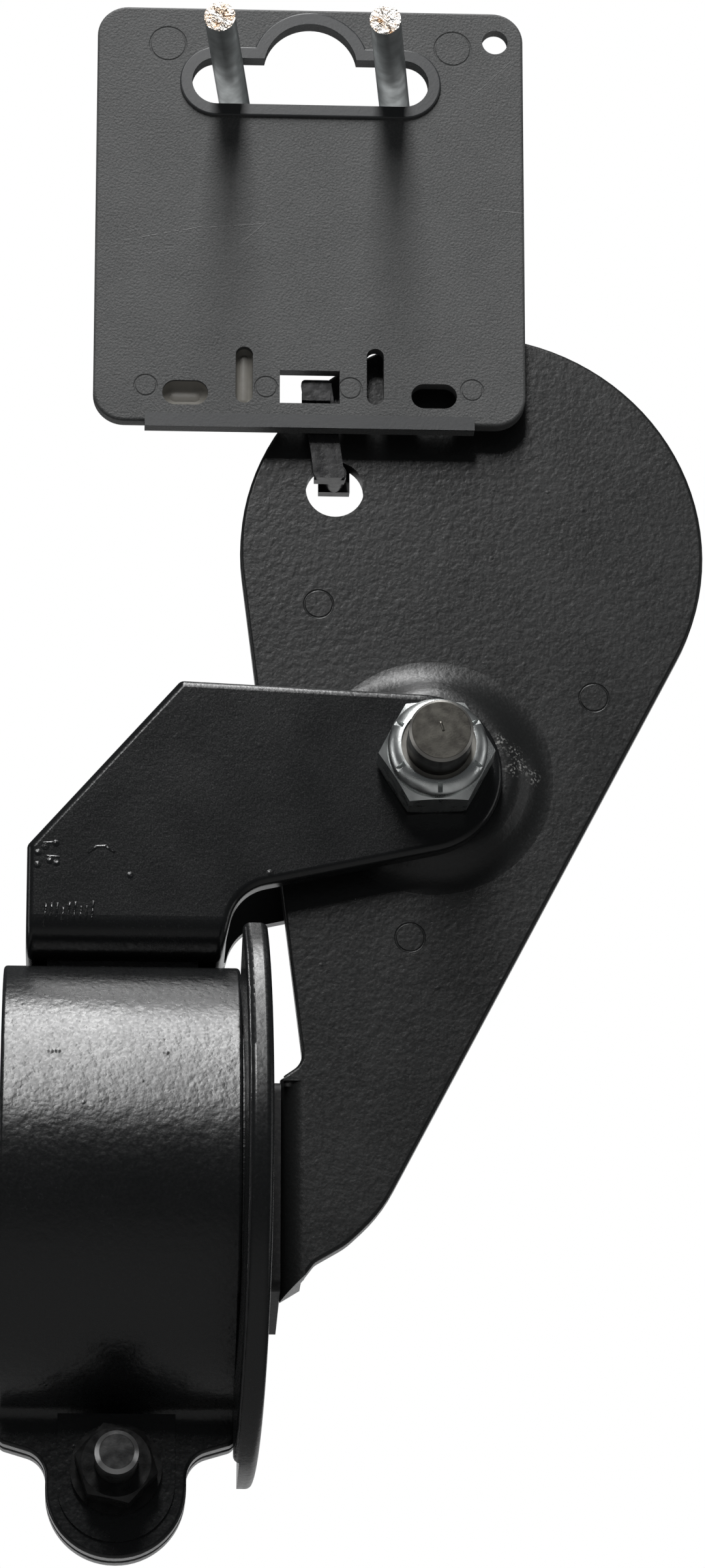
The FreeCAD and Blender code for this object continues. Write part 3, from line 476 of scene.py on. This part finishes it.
# ---------------------------------------------------------------- hang tag
# Moulded in a spark-grained mould; the raised rim round the slot and the lip are smooth.
# Scratched by the goods it has hung beside.
rim_height = 0.7 * mm
grain_depth = 0.12 * mm
scratch_depth = 0.05 * mm
tag_dark, tag_light = (0.052, 0.054, 0.054), (0.068, 0.070, 0.070)
tag_dot = (0.11, 0.11, 0.11)
tag_smooth = (0.040, 0.042, 0.044)
tag_scratched = (0.17, 0.17, 0.17)
tag_skin, tag_tree, tag_shader, tag_place = start_finish("tag_skin", (0.062, 0.064, 0.064), 0.58)
tag_axes = node(tag_tree, "SeparateXYZ")
tag_tree.links.new(tag_place, tag_axes.inputs[0])
tag_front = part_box("hang_tag")[0].y + rim_height
smooth_rim = between(tag_tree, tag_axes.outputs[1], tag_front - 0.15 * mm, tag_front - 0.35 * mm)
grain = sums(tag_tree, "MULTIPLY", speckle(tag_tree, tag_place, 0.45 * mm, 2.0),
             between(tag_tree, smooth_rim, 0.0, 1.0, 1.0, 0.12))
tag_relief = press_relief(tag_tree, tag_shader, grain, grain_depth)
scratch_lines = ((6.5, 186.4, 17.0, 0.22, 11.5), (20.0, 188.2, 12.0, 0.30, 5.0),
                 (23.5, 186.6, 7.0, 0.26, 43.0), (72.0, 192.2, 10.0, 0.24, -5.0),
                 (70.3, 220.2, 13.0, 0.20, 45.0), (44.0, 172.0, 7.0, 0.20, 15.0),
                 (5.0, 182.5, 9.0, 0.16, 9.0), (57.0, 178.5, 5.0, 0.16, 24.0))
scratches = sums(tag_tree, "MULTIPLY", strokes(tag_tree, tag_place, scratch_lines),
                 between(tag_tree, speckle(tag_tree, tag_place, 0.9 * mm, 2.0), 0.35, 0.55))
tag_cloud = speckle(tag_tree, tag_place, 9 * mm, 3.0)
tag_dots = between(tag_tree, speckle(tag_tree, tag_place, 0.30 * mm, 2.0), 0.35, 0.70)
tag_shade = two_colours(tag_tree, between(tag_tree, tag_cloud, 0.3, 0.7), tag_dark, tag_light)
tag_shade = two_colours(tag_tree, sums(tag_tree, "MULTIPLY", tag_dots, 0.70), tag_shade, tag_dot)
tag_shade = two_colours(tag_tree, smooth_rim, tag_shade, tag_smooth)
tag_shade = two_colours(tag_tree, scratches, tag_shade, tag_scratched)
tag_tree.links.new(tag_shade, tag_shader.inputs["Base Color"])
tag_tree.links.new(between(tag_tree, smooth_rim, 0.0, 1.0, 0.60, 0.40), tag_shader.inputs["Roughness"])
press_relief(tag_tree, tag_shader, scratches, scratch_depth, tag_relief)
wear("hang_tag", tag_skin)

# ---------------------------------------------------------------- webs in the tag's left slots
# Thin greyish sheets set at the back of the two left-hand small slots.
# Each is a rounded sheet that stops short of the slot's walls.
web_skin, web_tree, web_shader, web_place = start_finish("web_skin", (0.24, 0.23, 0.21), 0.5)
web_cloud = speckle(web_tree, web_place, 1.3 * mm, 3.0)
web_tree.links.new(two_colours(web_tree, web_cloud, (0.20, 0.19, 0.17), (0.27, 0.26, 0.235)),
                   web_shader.inputs["Base Color"])
press_relief(web_tree, web_shader, web_cloud, 0.03 * mm)
tag_thickness = 2.8 * mm
tag_height = 86.2 * mm
web_thickness = 0.4 * mm
web_setback = 0.25 * mm
web_roundness = 0.49
tag_low_corner, tag_high_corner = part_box("hang_tag")
tag_middle = (tag_low_corner.x + tag_high_corner.x) / 2
tag_back = tag_front + tag_thickness
tag_base = tag_high_corner.z - tag_height
webs = (("flat", -23.9, 5.9, 8.9, 5.1), ("tall", -12.6, 9.7, 3.4, 11.6))
for web_name, offset, above, wide, high in webs:
    web_middle = (tag_middle + offset * mm, tag_back - web_setback, tag_base + above * mm)
    bpy.ops.object.select_all(action="DESELECT")
    bpy.ops.mesh.primitive_cube_add(size=1.0, location=web_middle)
    web = bpy.context.object
    web.name = "slot_web_" + web_name
    web.scale = (wide * mm, web_thickness, high * mm)
    bpy.ops.object.transform_apply(location=True, rotation=True, scale=True)
    bpy.ops.object.mode_set(mode="EDIT")
    bpy.ops.mesh.select_all(action="DESELECT")
    bpy.ops.object.mode_set(mode="OBJECT")
    for edge in web.data.edges:
        start, end = (web.data.vertices[index].co for index in edge.vertices)
        edge.select = abs(start.y - end.y) > 0.1 * mm
    bpy.ops.object.mode_set(mode="EDIT")
    bpy.ops.mesh.bevel(offset=web_roundness * min(wide, high) * mm, segments=8, affect="EDGES")
    bpy.ops.object.mode_set(mode="OBJECT")
    bpy.ops.object.shade_smooth_by_angle(angle=math.radians(35))
    web.data.materials.append(web_skin)
    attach(web, "tag")

# ---------------------------------------------------------------- strap and hook
# Smooth black nylon strap moulded with its hook, shinier than the tag.
strap_skin, strap_tree, strap_shader, strap_place = start_finish("strap_skin", (0.014, 0.014, 0.015), 0.28)
strap_cloud = speckle(strap_tree, strap_place, 2.0 * mm, 3.0)
strap_tree.links.new(between(strap_tree, strap_cloud, 0.3, 0.7, 0.20, 0.36), strap_shader.inputs["Roughness"])
press_relief(strap_tree, strap_shader, strap_cloud, 0.06 * mm)
wear("tag_strap", strap_skin)
wear("strap_hook", strap_skin)

# ---------------------------------------------------------------- prongs
# Two zinc-plated steel rods, cropped off roughly: the cut ends are torn, bright and browned.
# Each is a rod with its cut face worked into uneven rings.
prong_tilt = math.radians(5.5)
prong_sides = 64
tip_round = 0.25 * mm
tip_proud = 0.05 * mm
ring_count = 4
ring_width = 0.55 * mm
torn_height = 0.16 * mm
torn_margin = 0.15 * mm
torn_reach = 0.1 * mm
torn_brown, torn_bright = (0.42, 0.25, 0.13), (0.84, 0.82, 0.78)
prong_skin = zinc_plate("prong_skin", (0.62, 0.65, 0.65), 0.40, 3.5 * mm, 0.65)
torn_end, torn_tree, torn_shader, torn_place = start_finish("torn_end", (0.5, 0.3, 0.15), 0.36, 1.0)
torn_patch = between(torn_tree, speckle(torn_tree, torn_place, 1.6 * mm, 4.0), 0.30, 0.62)
torn_tree.links.new(two_colours(torn_tree, torn_patch, torn_brown, torn_bright),
                    torn_shader.inputs["Base Color"])
press_relief(torn_tree, torn_shader, speckle(torn_tree, torn_place, 0.5 * mm, 3.0), 0.25 * mm)
for prong_name, seed in (("prong_left", 3), ("prong_right", 8)):
    low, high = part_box(prong_name)
    prong_radius = (high.z - low.z) / 2
    along = Vector((math.sin(prong_tilt), math.cos(prong_tilt), 0.0))
    tip = Vector((low.x + prong_radius * along.y, low.y + prong_radius * along.x, (low.z + high.z) / 2))
    length = (high.y - tip.y) / along.y - prong_radius * along.x / along.y
    bpy.ops.object.select_all(action="DESELECT")
    bpy.ops.mesh.primitive_cylinder_add(vertices=prong_sides, radius=prong_radius, depth=length)
    rod = bpy.context.object
    rod.name = "cropped_" + prong_name
    turned = along.to_track_quat("-Z", "Y").to_matrix().to_4x4()
    rod.data.transform(Matrix.Translation(tip + along * length / 2) @ turned)
    bpy.ops.object.mode_set(mode="EDIT")
    bpy.ops.mesh.select_all(action="DESELECT")
    bpy.ops.object.mode_set(mode="OBJECT")
    for face in rod.data.polygons:
        face.select = face.normal.dot(along) < -0.9
    bpy.ops.object.mode_set(mode="EDIT")
    bpy.ops.mesh.inset(thickness=tip_round, depth=0.0)
    bpy.ops.transform.translate(value=-tip_proud * along)
    for _ in range(ring_count):
        bpy.ops.mesh.inset(thickness=ring_width, depth=0.0)
    bpy.ops.mesh.select_all(action="DESELECT")
    bpy.ops.object.mode_set(mode="OBJECT")
    rod.data.materials.append(prong_skin)
    rod.data.materials.append(torn_end)
    for face in rod.data.polygons:
        face.material_index = 1 if face.normal.dot(along) < -0.5 else 0
    for corner in rod.data.vertices:
        inside = (corner.co - tip).cross(along).length < prong_radius - torn_margin
        corner.select = inside and (corner.co - tip).dot(along) < torn_reach
    bpy.ops.object.mode_set(mode="EDIT")
    bpy.ops.transform.vertex_random(offset=torn_height, uniform=0.1, seed=seed)
    bpy.ops.mesh.normals_make_consistent(inside=False)
    bpy.ops.object.mode_set(mode="OBJECT")
    bpy.ops.object.shade_smooth_by_angle(angle=math.radians(35))
    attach(rod, "hanger")
    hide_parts(prong_name)

# ---------------------------------------------------------------- hanger plate
# Zinc-plated plate on the wall side that the two rods are fixed in.
wear("hanger_plate", zinc_plate("hanger_skin", (0.52, 0.54, 0.54), 0.36, 5.0 * mm, 0.55))
